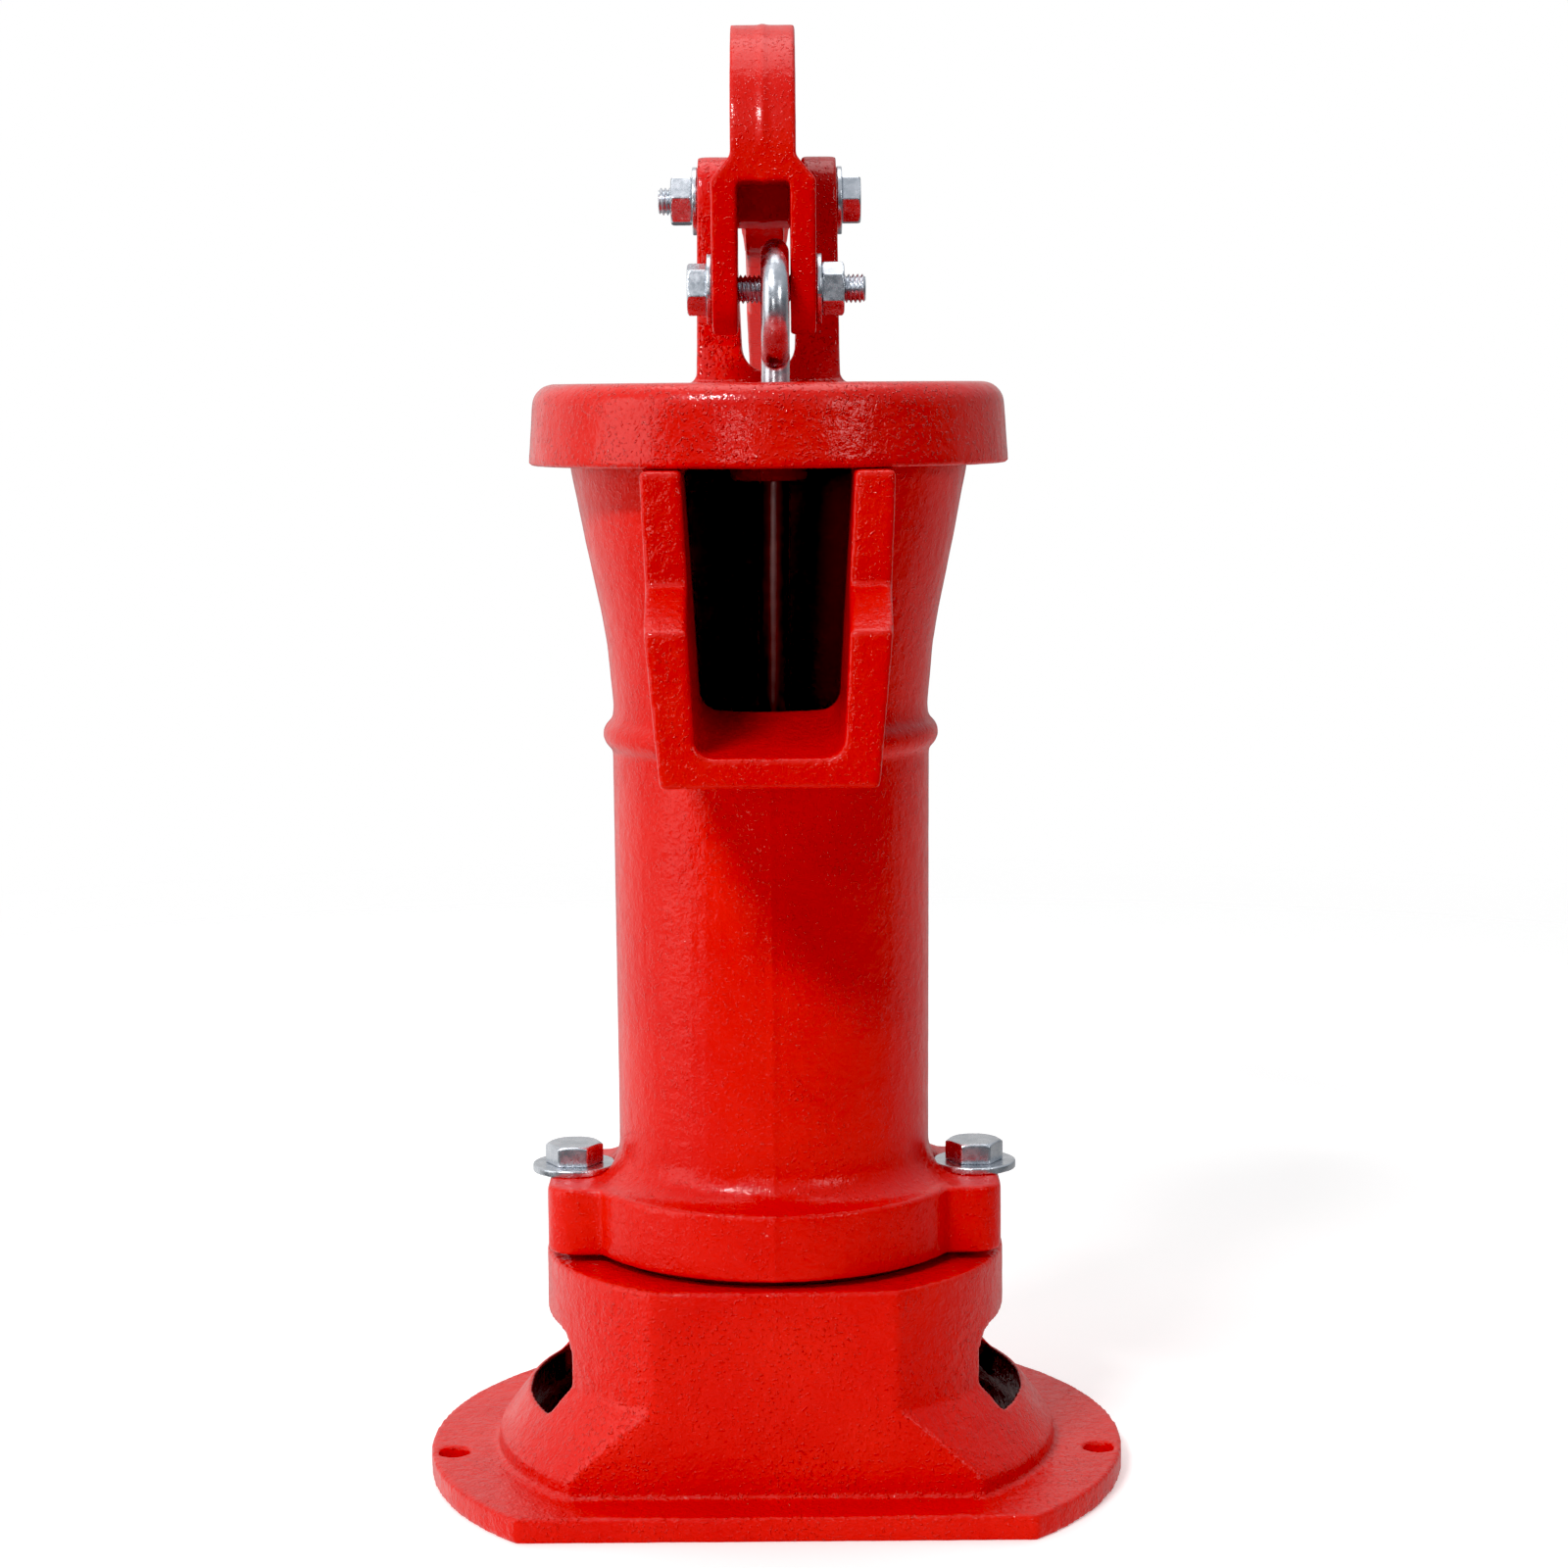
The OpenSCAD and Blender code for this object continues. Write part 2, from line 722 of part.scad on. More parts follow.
// Cage: valve seat below, four legs, and a hub that takes the rod.
module plunger_cage() {
    hub_z = cage_h - cage_hub_h;
    color(iron)
    translate([0, 0, plunger_z + follower_h])
    difference() {
        union() {
            cylinder(r = cage_r, h = cage_base_t);
            translate([0, 0, -follower_h])
                cylinder(r = cage_port_r + 4, h = follower_h);
            for (a = [45 : 90 : 315])
                rotate([0, 0, a]) {
                    translate([poppet_r + 1 + cage_leg_r, 0, 0])
                        cylinder(r = cage_leg_r, h = hub_z + 5);
                    translate([0, -cage_leg_r, hub_z])
                        cube([poppet_r + 1 + cage_leg_r, 2 * cage_leg_r, 5]);
                }
            translate([0, 0, hub_z]) cylinder(r = cage_hub_r, h = cage_hub_h);
        }
        translate([0, 0, -follower_h - 1]) cylinder(r = cage_port_r, h = follower_h + 10);
        translate([0, 0, hub_z + hub_floor_t]) cylinder(r = rod_seat_r, h = far);
    }
}

// Poppet: a disc on the seat with a guide of three wings in the port.
module plunger_poppet() {
    seat_z = plunger_z + follower_h + cage_base_t + gap;
    wing_h = 9;
    color(bronze)
    translate([0, 0, seat_z]) {
        cylinder(r = poppet_r, h = poppet_t);
        translate([0, 0, poppet_t - eps]) cylinder(r = 6, h = 3);
        for (a = [0 : 120 : 240])
            rotate([0, 0, a]) translate([0, -1.2, -wing_h])
                cube([cage_port_r - 0.5, 2.4, wing_h + eps]);
    }
}

// ---- foot valve ----

// Leather flap with the tongue that it bends on.
module foot_valve_flap() {
    tongue_w = 16;
    color(hide)
    translate([0, 0, flap_z])
    difference() {
        union() {
            cylinder(r = flap_r, h = leather_t);
            translate([-tongue_w / 2, 0, 0]) cube([tongue_w, ring_in_r - 2, leather_t]);
        }
        translate([0, 0, -1]) cylinder(r = valve_bolt_r, h = leather_t + 2);
    }
}

module foot_valve_weight() {
    color(iron)
    translate([0, 0, flap_z + leather_t])
    difference() {
        rotate_extrude()
            polygon([[0, 0], [weight_r, 0], [weight_r, weight_h - 3],
                     [weight_r - 3, weight_h], [0, weight_h]]);
        translate([0, 0, -1]) cylinder(r = valve_bolt_r, h = weight_h + 2);
    }
}

module foot_valve_bolt() {
    top = flap_z + leather_t + weight_h;
    color(zinc)
        translate([0, 0, top])
            hex_bolt(valve_bolt_af, 4, valve_bolt_r,
                     weight_h + leather_t + valve_washer_t + valve_nut_h + 1.5);
}

module foot_valve_washer() {
    color(zinc)
        translate([0, 0, flap_z - valve_washer_t])
            washer(valve_washer_r, valve_bolt_r, valve_washer_t);
}

module foot_valve_nut() {
    color(zinc)
        translate([0, 0, flap_z - valve_washer_t - valve_nut_h])
            hex_nut(valve_bolt_af, valve_nut_h, valve_bolt_r);
}

base();
valve_gasket();
barrel();
flange_bolts();
flange_washers();
cap();
cap_set_screws();
fulcrum_bolt();
fulcrum_nut();
fulcrum_washers();
handle();
rod_pin_bolt();
rod_pin_nut();
rod_pin_washers();
piston_rod();
rod_lock_nut();
plunger_cage();
plunger_cup_leather();
plunger_follower();
plunger_poppet();
foot_valve_flap();
foot_valve_weight();
foot_valve_bolt();
foot_valve_washer();
foot_valve_nut();
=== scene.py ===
import json
import math

import bmesh
import bpy
import numpy as np
from mathutils import Euler, Matrix, Vector

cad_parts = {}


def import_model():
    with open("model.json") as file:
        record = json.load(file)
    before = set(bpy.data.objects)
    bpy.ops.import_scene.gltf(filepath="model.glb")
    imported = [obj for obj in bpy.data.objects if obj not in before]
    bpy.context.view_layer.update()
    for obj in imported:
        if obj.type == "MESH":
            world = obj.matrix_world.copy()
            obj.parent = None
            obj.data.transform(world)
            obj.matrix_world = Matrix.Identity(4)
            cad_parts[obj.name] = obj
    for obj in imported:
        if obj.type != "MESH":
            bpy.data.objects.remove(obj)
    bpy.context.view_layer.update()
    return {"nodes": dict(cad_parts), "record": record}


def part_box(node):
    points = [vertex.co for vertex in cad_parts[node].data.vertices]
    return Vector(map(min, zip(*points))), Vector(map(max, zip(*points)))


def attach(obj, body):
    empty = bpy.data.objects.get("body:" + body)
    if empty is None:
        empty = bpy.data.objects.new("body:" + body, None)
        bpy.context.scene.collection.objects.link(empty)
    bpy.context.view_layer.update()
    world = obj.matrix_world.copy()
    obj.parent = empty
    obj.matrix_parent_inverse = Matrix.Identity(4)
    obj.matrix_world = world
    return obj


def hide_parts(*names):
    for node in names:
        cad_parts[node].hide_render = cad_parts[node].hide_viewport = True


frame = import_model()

MM = 0.001
scene = bpy.context.scene


# ---------------------------------------------------------------- shader nodes

NOISE_LOW, NOISE_HIGH = 0.3, 0.7  # most of a noise texture's values lie between these


def new_material(name, **values):
    """A Principled material with these values set on the shader's own sockets."""
    material = bpy.data.materials.new(name)
    material.use_nodes = True
    nodes = material.node_tree.nodes
    shader = nodes["Principled BSDF"]
    for socket, value in values.items():
        shader.inputs[socket.replace("_", " ")].default_value = value
    return material, material.node_tree, shader


def plug(tree, socket, value):
    """Links value to socket if it is another node's output, or else sets it there."""
    if isinstance(value, bpy.types.NodeSocket):
        tree.links.new(value, socket)
    else:
        socket.default_value = value


def add_node(tree, kind, **settings):
    """A new node, with its sockets (From_Min is From Min) and its properties set."""
    node = tree.nodes.new(kind)
    for key, value in settings.items():
        socket = key.replace("_", " ")
        if socket in node.inputs:
            plug(tree, node.inputs[socket], value)
        else:
            setattr(node, key, value)
    return node


def object_coordinates(tree):
    return add_node(tree, "ShaderNodeTexCoord").outputs["Object"]


def noise(tree, where, size, detail=3.0, rough=0.55):
    """Noise whose lumps are about size metres across."""
    node = add_node(tree, "ShaderNodeTexNoise", Vector=where, Scale=1.0 / size, Detail=detail,
                    Roughness=rough)
    return node.outputs["Fac"]


def maths(tree, operation, first, second=0.0):
    node = add_node(tree, "ShaderNodeMath", operation=operation)
    plug(tree, node.inputs[0], first)
    plug(tree, node.inputs[1], second)
    return node.outputs["Value"]


def vector_maths(tree, operation, *values):
    node = add_node(tree, "ShaderNodeVectorMath", operation=operation)
    for socket, value in zip(node.inputs, values):
        plug(tree, socket, value)
    return node.outputs["Value" if operation in ("LENGTH", "DOT_PRODUCT") else "Vector"]


def map_range(tree, value, start, end, low=0.0, high=1.0, curve="LINEAR"):
    """Maps start to end onto low to high, and holds low and high outside them."""
    node = add_node(tree, "ShaderNodeMapRange", interpolation_type=curve, Value=value,
                    From_Min=start, From_Max=end, To_Min=low, To_Max=high)
    return node.outputs["Result"]


def spread(tree, fac, low, high):
    """Spreads noise over low to high."""
    return map_range(tree, fac, NOISE_LOW, NOISE_HIGH, low, high)


def mix(tree, blend, fac, first, second):
    node = add_node(tree, "ShaderNodeMixRGB", blend_type=blend, Fac=fac, Color1=first,
                    Color2=second)
    return node.outputs["Color"]


def ramp(tree, fac, *stops):
    """A colour ramp with two or more stops, each a place and a colour."""
    node = add_node(tree, "ShaderNodeValToRGB", Fac=fac)
    elements = node.color_ramp.elements
    for element, (place, colour) in zip(elements, (stops[0], stops[-1])):
        element.position = place
        element.color = colour
    for place, colour in stops[1:-1]:
        elements.new(place).color = colour
    return node.outputs["Color"]


def two_tone(tree, fac, dark, light):
    """Spreads noise over dark to light."""
    return ramp(tree, fac, (NOISE_LOW, dark), (NOISE_HIGH, light))


def bump(tree, height, distance, below=None):
    """Bumps on the plain surface, or on the bumps below."""
    node = add_node(tree, "ShaderNodeBump", Height=height, Distance=distance)
    if below is not None:
        tree.links.new(below, node.inputs["Normal"])
    return node.outputs["Normal"]


def grey(value):
    return (value, value, value, 1)


# ---------------------------------------------------------------- materials

def pimples(tree, where, size, amount):
    """Sparse grains of sand under the paint, in drifts a centimetre or two across."""
    sharp = map_range(tree, noise(tree, where, size, 1, 0.5), 0.58, 0.70, curve="SMOOTHSTEP")
    drifts = spread(tree, noise(tree, where, 16 * MM), 0.0, amount)
    return maths(tree, "MULTIPLY", sharp, drifts)


def inner_walls(tree, reach):
    """1 on walls that face the pump's axis and are nearer to it than reach, else 0: the mask of
    the enamel's painted shade.
    """
    here = add_node(tree, "ShaderNodeTexCoord").outputs
    out = vector_maths(tree, "MULTIPLY", here["Object"], (1, 1, 0))
    away = vector_maths(tree, "NORMALIZE", out)
    facing = vector_maths(tree, "DOT_PRODUCT", here["Normal"], away)
    inward = maths(tree, "LESS_THAN", facing, -0.15)
    near = maths(tree, "LESS_THAN", vector_maths(tree, "LENGTH", out), reach)
    return maths(tree, "MULTIPLY", inward, near)


def enamel_material(name, peel, grains, coat=0.45, gloss=0.04, inside=0.0, painted_shade_factor=1.0):
    """Thick red gloss enamel over sand-cast iron: orange peel, grains, hardly any colour change.

    Walls that face the axis within the radius inside get painted shade: their colour is darkened
    and reddened by the given factor, and most of their coat is taken off."""
    material, tree, shader = new_material(
        name, Coat_Weight=coat, Coat_Roughness=gloss, Specular_IOR_Level=0.12)
    where = object_coordinates(tree)
    colour = two_tone(tree, noise(tree, where, 30 * MM, 4),
                      (0.68, 0.012, 0.008, 1), (0.75, 0.018, 0.010, 1))
    if inside:
        # Painted shade: walls inside the hollow are darkened and reddened, and lose most of
        # their coat.
        painted_shade_mask = inner_walls(tree, inside)
        coat_lost_to_painted_shade = maths(tree, "MULTIPLY", painted_shade_mask, 0.9 * coat)
        plug(tree, shader.inputs["Coat Weight"], maths(tree, "SUBTRACT", coat, coat_lost_to_painted_shade))
        colour = mix(tree, "MULTIPLY", painted_shade_mask, colour, (painted_shade_factor, 0.7 * painted_shade_factor, 0.7 * painted_shade_factor, 1))
    plug(tree, shader.inputs["Base Color"], colour)
    dull_spots = spread(tree, noise(tree, where, 6 * MM), 0.30, 0.44)
    plug(tree, shader.inputs["Roughness"], dull_spots)
    waves = bump(tree, noise(tree, where, 3 * MM, 2, 0.4), 0.26 * MM * peel)
    grain = bump(tree, noise(tree, where, 0.9 * MM, 2, 0.5), 0.14 * MM * peel, below=waves)
    rough = bump(tree, pimples(tree, where, 1 * MM, grains), 0.4 * MM, below=grain)
    plug(tree, shader.inputs["Normal"], rough)
    plug(tree, shader.inputs["Coat Normal"], rough)
    return material


def zinc_material(name="zinc_plate", dull_and_shaded_below=0.0):
    """Bright zinc plate: cool metal with a faint blotchy bloom. Below a height it is rougher and
    less metallic, and its colour carries painted shade and a painted red-brown reflection of the
    red walls around it.
    """
    material, tree, shader = new_material(name, Metallic=1.0)
    where = object_coordinates(tree)
    colour = two_tone(tree, noise(tree, where, 4 * MM, 3, 0.5),
                      (0.54, 0.57, 0.61, 1), (0.76, 0.78, 0.82, 1))
    rough = spread(tree, noise(tree, where, 2 * MM, 2), 0.20, 0.33)
    if dull_and_shaded_below:
        height = add_node(tree, "ShaderNodeSeparateXYZ", Vector=where).outputs["Z"]
        dull_and_shaded = maths(tree, "LESS_THAN", height, dull_and_shaded_below)
        # Painted shade and a painted red-brown reflection of the red walls below the height.
        colour = mix(tree, "MULTIPLY", dull_and_shaded, colour, (0.60, 0.40, 0.36, 1))
        rough = maths(tree, "ADD", rough, maths(tree, "MULTIPLY", dull_and_shaded, 0.16))
        lost_metal = maths(tree, "MULTIPLY", dull_and_shaded, 0.4)
        plug(tree, shader.inputs["Metallic"], maths(tree, "SUBTRACT", 1.0, lost_metal))
    plug(tree, shader.inputs["Base Color"], colour)
    plug(tree, shader.inputs["Roughness"], rough)
    plug(tree, shader.inputs["Normal"], bump(tree, noise(tree, where, 2.5 * MM, 2), 0.02 * MM))
    return material


def leather_material():
    """Oiled hide with a pebbled grain."""
    material, tree, shader = new_material("oiled_leather")
    where = object_coordinates(tree)
    colour = two_tone(tree, noise(tree, where, 8 * MM, 5),
                      (0.10, 0.045, 0.018, 1), (0.24, 0.12, 0.05, 1))
    rough = spread(tree, noise(tree, where, 3 * MM), 0.45, 0.75)
    pebbles = add_node(tree, "ShaderNodeTexVoronoi", feature="DISTANCE_TO_EDGE", Vector=where,
                       Scale=1 / (1.1 * MM))
    plug(tree, shader.inputs["Base Color"], colour)
    plug(tree, shader.inputs["Roughness"], rough)
    plug(tree, shader.inputs["Normal"], bump(tree, pebbles.outputs["Distance"], 0.2 * MM))
    return material


def iron_material():
    """Bare cast iron: dark grey, grainy, with a little rust bloom."""
    material, tree, shader = new_material("bare_iron", Metallic=0.85)
    where = object_coordinates(tree)
    colour = ramp(tree, noise(tree, where, 6 * MM, 6, 0.65), (0.35, (0.13, 0.125, 0.12, 1)),
                  (0.62, (0.24, 0.23, 0.22, 1)), (0.72, (0.20, 0.09, 0.05, 1)))
    rough = spread(tree, noise(tree, where, 2 * MM), 0.45, 0.7)
    plug(tree, shader.inputs["Base Color"], colour)
    plug(tree, shader.inputs["Roughness"], rough)
    plug(tree, shader.inputs["Normal"], bump(tree, noise(tree, where, 1.2 * MM, 4), 0.3 * MM))
    return material


def bronze_material():
    """Turned bronze: fine lathe rings about the pump's axis and a light tarnish."""
    material, tree, shader = new_material("turned_bronze", Metallic=1.0)
    where = object_coordinates(tree)
    colour = two_tone(tree, noise(tree, where, 5 * MM, 5),
                      (0.42, 0.26, 0.10, 1), (0.74, 0.52, 0.24, 1))
    rough = spread(tree, noise(tree, where, 2 * MM), 0.22, 0.42)
    rings = add_node(tree, "ShaderNodeTexWave", wave_type="RINGS", rings_direction="Z",
                     Vector=where, Scale=500)
    plug(tree, shader.inputs["Base Color"], colour)
    plug(tree, shader.inputs["Roughness"], rough)
    plug(tree, shader.inputs["Normal"], bump(tree, rings.outputs["Fac"], 0.04 * MM))
    return material


# Walls that face the axis and are nearer to it than this are a casting's inside, and get painted
# shade.
BARREL_INSIDE_R = 52 * MM
BASE_INSIDE_R = 78 * MM
# Up to here the rod is rougher and less metallic, and its colour carries painted shade and a
# painted red-brown reflection; at rest this height is inside the guide under the cap.
DULL_SHADED_ROD_TOP_Z = 298 * MM

MATERIALS = {
    "enamel": enamel_material("red_enamel", peel=0.85, grains=1.3, coat=0.62, gloss=0.02),
    "zinc": zinc_material(),
    "leather": leather_material(),
    "raw_iron": iron_material(),
    "bronze": bronze_material(),
}
OWN_MATERIAL = {
    "handle": enamel_material("red_enamel_smooth", peel=0.5, grains=0.5, gloss=0.14),
    # The barrel's and the base's inner walls get painted shade, the base's much darker.
    "barrel": enamel_material("red_enamel_hollow", peel=1.0, grains=0.5,
                              inside=BARREL_INSIDE_R, painted_shade_factor=0.8),
    "base": enamel_material("red_enamel_base", peel=1.7, grains=0.9,
                            inside=BASE_INSIDE_R, painted_shade_factor=0.2),
    "piston_rod": zinc_material("zinc_dull_and_shaded", dull_and_shaded_below=DULL_SHADED_ROD_TOP_Z),
}
SLOT_OF = {part["node"]: part["material_slot"] for part in frame["record"]["subparts"]}
BODY_OF = {
    node: body
    for body, members in frame["record"]["behaviour"]["bodies"].items()
    for node in members
}


# ---------------------------------------------------------------- mesh tools


def points_of(mesh):
    out = np.empty(len(mesh.vertices) * 3)
    mesh.vertices.foreach_get("co", out)
    return out.reshape(-1, 3)


def set_points(mesh, points):
    mesh.vertices.foreach_set("co", points.reshape(-1))
    mesh.update()


def normals_of(mesh):
    out = np.empty(len(mesh.vertices) * 3)
    mesh.vertex_normals.foreach_get("vector", out)
    return out.reshape(-1, 3)


def new_object(name, data):
    obj = bpy.data.objects.new(name, data)
    scene.collection.objects.link(obj)
    return obj


def apply_modifiers(obj):
    """Bakes obj's modifiers into its mesh."""
    bpy.context.view_layer.update()
    done = bpy.data.meshes.new_from_object(
        obj.evaluated_get(bpy.context.evaluated_depsgraph_get()))
    obj.modifiers.clear()
    old = obj.data
    obj.data = done
    bpy.data.meshes.remove(old)


def weld(mesh):
    shape = bmesh.new()
    shape.from_mesh(mesh)
    bmesh.ops.remove_doubles(shape, verts=shape.verts, dist=0.001 * MM)
    shape.to_mesh(mesh)
    shape.free()


def copy_of(node, name):
    mesh = frame["nodes"][node].data.copy()
    mesh.name = name
    mesh.materials.clear()
    weld(mesh)
    return new_object(name, mesh)


def shade_smooth(mesh):
    mesh.polygons.foreach_set("use_smooth", [True] * len(mesh.polygons))
    mesh.update()


def keep_in_box(obj, node):
    """No point of obj goes outside the CAD node's own box."""
    low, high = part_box(node)
    set_points(obj.data, np.clip(points_of(obj.data), np.array(low), np.array(high)))


def stand_for(obj, node):
    """Gives obj the node's body, slot and material, and hides the node."""
    obj.data.materials.clear()
    obj.data.materials.append(OWN_MATERIAL.get(node, MATERIALS[SLOT_OF[node]]))
    shade_smooth(obj.data)
    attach(obj, BODY_OF[node])
    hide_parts(node)
    return obj


def soften(node, name, cell, rounds, sculpt=None):
    """A copy of a CAD node with its edges rounded: remeshed in small cells, then smoothed."""
    obj = copy_of(node, name)
    cells = obj.modifiers.new("cells", "REMESH")
    cells.mode = "VOXEL"
    cells.voxel_size = cell * 1
    smooth = obj.modifiers.new("smooth", "SMOOTH")
    smooth.factor = 0.5
    smooth.iterations = max(1, rounds // (1))
    apply_modifiers(obj)
    if sculpt:
        set_points(obj.data, sculpt(points_of(obj.data), normals_of(obj.data)))
    return obj


def lumpy(obj, size, height):
    """Low lumps left by the sand mould, or the unevenness of a hide."""
    texture = bpy.data.textures.new(obj.name + "_sand", "CLOUDS")
    texture.noise_scale = size
    texture.noise_depth = 2
    push = obj.modifiers.new("sand", "DISPLACE")
    push.texture = texture
    push.texture_coords = "LOCAL"
    push.mid_level = 0.5
    push.strength = height
    apply_modifiers(obj)


# ---------------------------------------------------------------- castings

HANDLE_MIDDLE_X = -0.8 * MM


def ridge(points, middle, width, height):
    """A low ridge along the plane x = middle: how high it is at each point."""
    return np.exp(-((points[:, 0] - middle) / width) ** 2) * height


def seam_on_the_barrel(points, normals):
    """The mould's parting line: a low ridge down the outside, front and back."""
    along_y = np.abs(normals[:, 1]) > 0.8
    outward = points[:, 1] * normals[:, 1] > 0
    lift = np.where(along_y & outward, ridge(points, 0.0, 0.7 * MM, 0.28 * MM), 0)
    return points + normals * lift[:, None]


def seam_on_the_handle(points, normals):
    """The mould's parting line: a shallow roof along the middle of its edge."""
    edge_on = np.abs(normals[:, 0]) < 0.3
    lift = np.where(edge_on, ridge(points, HANDLE_MIDDLE_X, 1.1 * MM, 0.35 * MM), 0)
    return points + normals * lift[:, None]


def casting(node, cell, rounds, sculpt=None, sand=0.12 * MM):
    obj = soften(node, node + "_casting", cell, rounds, sculpt)
    lumpy(obj, 7 * MM, sand)
    keep_in_box(obj, node)
    return stand_for(obj, node)


casting("base", cell=0.85 * MM, rounds=6, sand=0.25 * MM)
casting("barrel", cell=0.85 * MM, rounds=5, sculpt=seam_on_the_barrel)
casting("cap", cell=0.8 * MM, rounds=6)
casting("handle", cell=0.65 * MM, rounds=6, sculpt=seam_on_the_handle)


# ---------------------------------------------------------------- hardware

M8_PITCH = 1.25 * MM
M8_CREST_R = 3.98 * MM
M8_HEAD_H = 5.5 * MM
THREAD_DEPTH = 0.62  # of the pitch
THREAD_FLAT = 0.12  # of the pitch is flat crest, and as much is flat root
TIP_CHAMFER = 0.8 * MM


def threaded_shank(name, radius, pitch, start, end):
    """A threaded shank along +Z from start to end, as a closed mesh."""
    rows_per_turn, around = ((12, 60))
    rows = int((end - start) / pitch * rows_per_turn)
    z = np.linspace(start, end, rows + 1)
    angle = np.arange(around) / around * 2 * math.pi
    turn = z[:, None] / pitch - angle[None, :] / (2 * math.pi)
    flank = np.abs(2 * (turn % 1.0) - 1)
    crest = np.clip((flank - THREAD_FLAT) / (1 - 2 * THREAD_FLAT), 0, 1)
    chamfer = np.clip(TIP_CHAMFER - (end - z), 0, None)
    r = np.minimum(radius - THREAD_DEPTH * pitch * (1 - crest), (radius - chamfer)[:, None])
    points = np.stack([r * np.cos(angle), r * np.sin(angle),
                       np.repeat(z[:, None], around, 1)], 2).reshape(-1, 3)
    points = list(map(tuple, points)) + [(0, 0, start), (0, 0, end)]
    start_centre, end_centre = len(points) - 2, len(points) - 1
    last_row = rows * around
    faces = []
    for row in range(0, last_row, around):
        for j in range(around):
            k = (j + 1) % around
            faces.append((row + j, row + k, row + around + k, row + around + j))
    for j in range(around):
        k = (j + 1) % around
        faces.append((k, j, start_centre))
        faces.append((last_row + j, last_row + k, end_centre))
    mesh = bpy.data.meshes.new(name)
    mesh.from_pydata(points, [], faces)
    mesh.update()
    return new_object(name, mesh)


def cut_past(obj, point, direction):
    """Removes what lies past point in direction, and closes the cut."""
    shape = bmesh.new()
    shape.from_mesh(obj.data)
    everything = shape.verts[:] + shape.edges[:] + shape.faces[:]
    cut = bmesh.ops.bisect_plane(shape, geom=everything, plane_co=point, plane_no=direction,
                                 clear_outer=True)
    edges = [part for part in cut["geom_cut"] if isinstance(part, bmesh.types.BMEdge)]
    bmesh.ops.contextual_create(shape, geom=edges)
    shape.to_mesh(obj.data)
    shape.free()


def join(obj, other):
    """Moves other's mesh into obj's."""
    shape = bmesh.new()
    shape.from_mesh(obj.data)
    moved = other.data.copy()
    moved.transform(other.matrix_world)
    shape.from_mesh(moved)
    shape.to_mesh(obj.data)
    shape.free()
    bpy.data.objects.remove(other)


def pivot_bolt(node, head_side):
    """An M8 hex bolt along X with a real thread; head_side is 1 for its head at +X, -1 at -X."""
    stub, thread_start = 1.2 * MM, 1.0 * MM
    low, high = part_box(node)
    head_end, tip = (high.x, low.x) if head_side > 0 else (low.x, high.x)
    face = head_end - head_side * M8_HEAD_H
    obj = soften(node, node + "_threaded", 0.26 * MM, 3)
    cut_past(obj, (face - head_side * stub, 0, 0), (-head_side, 0, 0))
    shank = threaded_shank(node + "_shank", M8_CREST_R, M8_PITCH, thread_start, abs(tip - face))
    centre = Vector((face, (low.y + high.y) / 2, (low.z + high.z) / 2))
    turned = Euler((0, -head_side * math.pi / 2, 0)).to_matrix().to_4x4()
    shank.matrix_world = Matrix.Translation(centre) @ turned
    bpy.context.view_layer.update()
    join(obj, shank)
    return stand_for(obj, node)


pivot_bolt("fulcrum_bolt", 1)
pivot_bolt("rod_pin_bolt", -1)

PLATED_CELL_MM = {
    "flange_bolts": 0.3, "flange_washers": 0.3, "cap_set_screws": 0.3,
    "fulcrum_nut": 0.26, "fulcrum_washers": 0.26, "rod_pin_nut": 0.26, "rod_pin_washers": 0.26,
    "rod_lock_nut": 0.3, "foot_valve_bolt": 0.3, "foot_valve_nut": 0.3,
    "foot_valve_washer": 0.3, "piston_rod": 0.4,
}
for node, cell in PLATED_CELL_MM.items():
    stand_for(soften(node, node + "_plated", cell * MM, 3), node)

for node in ("valve_gasket", "plunger_cup_leather", "foot_valve_flap"):
    leather = soften(node, node + "_hide", 0.6 * MM, 3)
    lumpy(leather, 5 * MM, 0.1 * MM)
    keep_in_box(leather, node)
    stand_for(leather, node)

for node in ("plunger_cage", "plunger_follower", "foot_valve_weight"):
    rough = soften(node, node + "_rough", 0.7 * MM, 4)
    lumpy(rough, 4 * MM, 0.15 * MM)
    keep_in_box(rough, node)
    stand_for(rough, node)

stand_for(soften("plunger_poppet", "plunger_poppet_turned", 0.5 * MM, 2), "plunger_poppet")


# ---------------------------------------------------------------- studio

FLOOR_RADIUS, FLOOR_CENTRE_Y, FLOOR_SIDES = 2.4, 1.95, 96
SHADE_RADIUS = 68 * MM  # the floor is dark under the hollow base
PUMP_MIDDLE = (0, 0, 200 * MM)


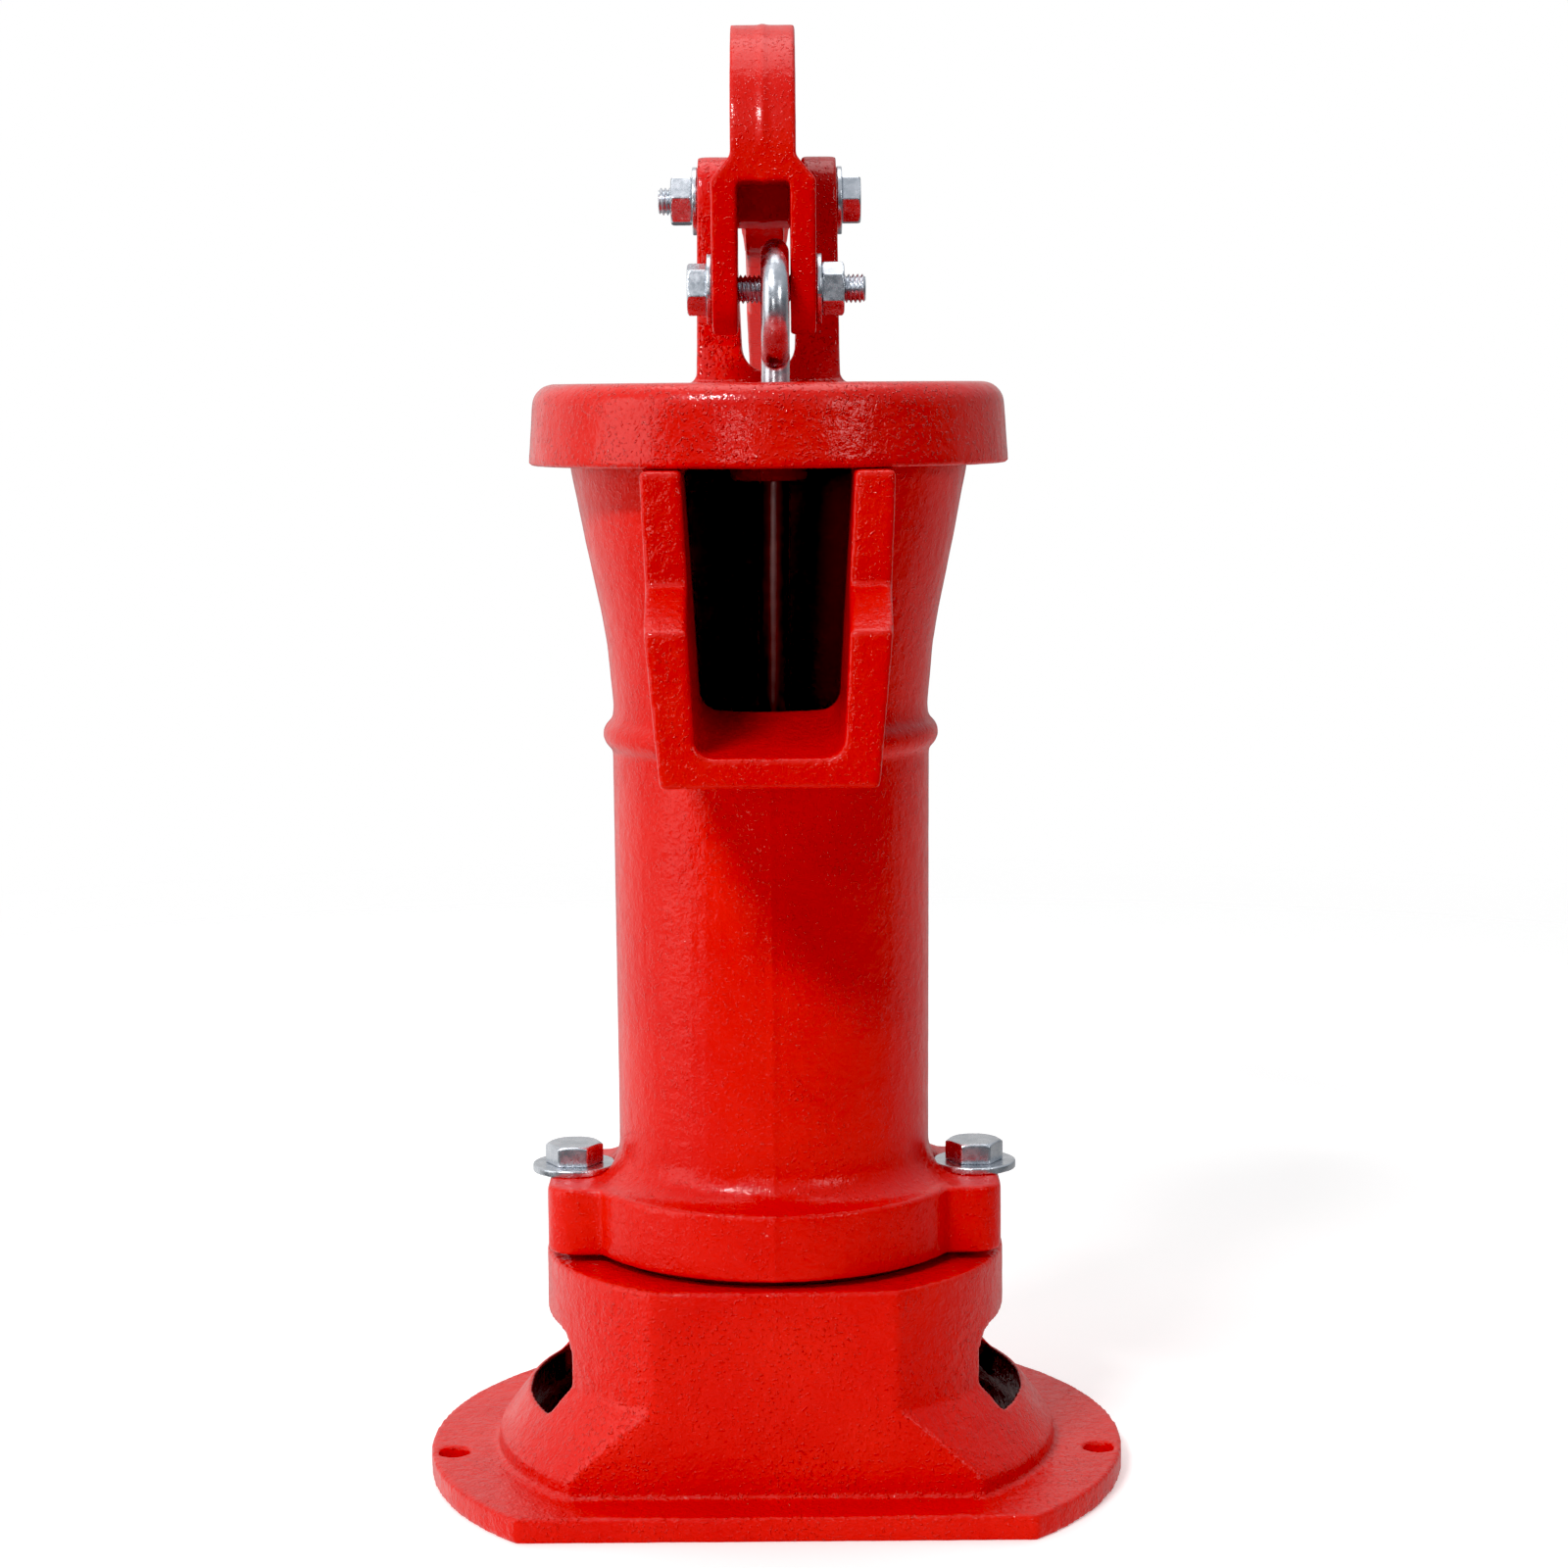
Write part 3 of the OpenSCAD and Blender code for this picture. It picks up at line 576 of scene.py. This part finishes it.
def pale_floor_material():
    """Pale with painted shade under the base, fading out with distance, and faint where it is
    mirrored.
    """
    material, tree, shader = new_material("pale_floor", Roughness=0.8, Emission_Strength=0.33)
    where = object_coordinates(tree)
    # Painted shade: the floor's colour and glow are nearly black under the hollow base.
    open_floor = maths(tree, "GREATER_THAN", vector_maths(tree, "LENGTH", where), SHADE_RADIUS)
    pale = ramp(tree, open_floor, (0.0, grey(0.01)), (1.0, grey(0.9)))
    around_pump = add_node(tree, "ShaderNodeMapping", Vector=where, Location=(0, -0.1, 0),
                           Scale=(0.9, 0.9, 0.9)).outputs["Vector"]
    ball = add_node(tree, "ShaderNodeTexGradient", gradient_type="SPHERICAL", Vector=around_pump)
    fade = ramp(tree, ball.outputs["Fac"], (0.02, grey(0)), (0.6, grey(1)))
    mirrored = add_node(tree, "ShaderNodeLightPath").outputs["Is Glossy Ray"]
    seen = maths(tree, "SUBTRACT", 1.0, maths(tree, "MULTIPLY", mirrored, 0.9))
    plug(tree, shader.inputs["Base Color"], pale)
    plug(tree, shader.inputs["Emission Color"], pale)
    plug(tree, shader.inputs["Alpha"], maths(tree, "MULTIPLY", fade, seen))
    return material


def floor():
    """A round floor, most of it behind the pump."""
    turns = [2 * math.pi * side / FLOOR_SIDES for side in range(FLOOR_SIDES)]
    ring = [(FLOOR_RADIUS * math.cos(turn), FLOOR_RADIUS * math.sin(turn) + FLOOR_CENTRE_Y, 0)
            for turn in turns]
    mesh = bpy.data.meshes.new("floor")
    mesh.from_pydata(ring, [], [tuple(range(FLOOR_SIDES))])
    mesh.materials.append(pale_floor_material())
    obj = new_object("floor", mesh)


def mirrored_room(tree, room, x, z):
    """What the enamel and the zinc mirror, by direction.

    Behind the pump it is the room, dimmer to the right and dark low down straight behind. In
    front are cool walls that are brighter higher up."""
    dimmer_right = map_range(tree, x, -0.5, 0.6, 0.85, 0.32)
    back = mix(tree, "MULTIPLY", 1.0, room, dimmer_right)
    straight = map_range(tree, maths(tree, "ABSOLUTE", x), 0.1, 0.3, 0.85, 0.0)
    low_down = maths(tree, "LESS_THAN", z, 0.02)
    back = mix(tree, "MIX", maths(tree, "MULTIPLY", straight, low_down), back, grey(0.0))
    front = ramp(tree, z, (0.0, (0.10, 0.11, 0.12, 1)), (0.25, (0.34, 0.37, 0.40, 1)),
                 (0.7, (0.55, 0.58, 0.62, 1)))
    return mix(tree, "LIGHTEN", 1.0, front, back)


def world():
    """White where the camera sees it. Surfaces are lit by a room that is bright behind the pump
    and dark in front of it, and mirror what mirrored_room gives."""
    studio = bpy.data.worlds.new("studio")
    scene.world = studio
    studio.use_nodes = True
    tree = studio.node_tree
    direction = add_node(tree, "ShaderNodeTexCoord").outputs["Generated"]
    parts = add_node(tree, "ShaderNodeSeparateXYZ", Vector=direction).outputs
    room = ramp(tree, parts["Y"], (0.0, grey(0.03)), (0.35, grey(1.0)))
    mirrored = mirrored_room(tree, room, parts["X"], parts["Z"])
    rays = add_node(tree, "ShaderNodeLightPath").outputs
    lit = mix(tree, "MIX", rays["Is Glossy Ray"], room, mirrored)
    seen = mix(tree, "MIX", rays["Is Camera Ray"], lit, grey(1.0))
    plug(tree, tree.nodes["Background"].inputs["Color"], seen)


def softbox(name, place, width, height, watts, target=PUMP_MIDDLE):
    """A rectangular light at place that faces target."""
    data = bpy.data.lights.new(name, "AREA")
    data.shape = "RECTANGLE"
    data.size = width
    data.size_y = height
    data.energy = watts
    obj = new_object(name, data)
    obj.location = place
    aim = Vector(target) - Vector(place)
    obj.rotation_euler = aim.to_track_quat("-Z", "Y").to_euler()


def black_level(level):
    """Deepens the shadows: level and below are shown as black."""
    view = scene.view_settings
    view.view_transform = "Standard"
    view.use_curve_mapping = True
    view.curve_mapping.black_level = (level, level, level)
    view.curve_mapping.update()


def camera():
    """About level with the cap, 0.9 m in front of the barrel's axis, tilted down a little."""
    data = bpy.data.cameras.new("camera")
    data.sensor_width = 36
    data.lens = 73.4
    tilt, roll = math.radians(6.97), math.radians(-0.45)
    place = Matrix.Translation((3.6 * MM, -894 * MM, 305.1 * MM))
    aim = Euler((math.pi / 2 - tilt, 0, 0)).to_matrix().to_4x4()
    obj = new_object("camera", data)
    obj.matrix_world = place @ aim @ Matrix.Rotation(roll, 4, "Z")
    scene.camera = obj


floor()
world()
softbox("key", (-0.65, -1.05, 1.35), width=0.5, height=0.11, watts=17)
softbox("low_front", (-0.45, -1.8, 0.38), width=0.25, height=0.25, watts=1.3,
        target=(0, 0, 240 * MM))
softbox("left_wall", (-1.5, -0.5, 0.5), width=1.0, height=1.3, watts=7)
softbox("right_fill", (1.3, -1.6, 0.9), width=0.6, height=0.6, watts=5)
softbox("overhead", (0.0, 0.3, 1.8), width=1.2, height=1.2, watts=8)
black_level(0.017)
camera()


bpy.context.view_layer.update()
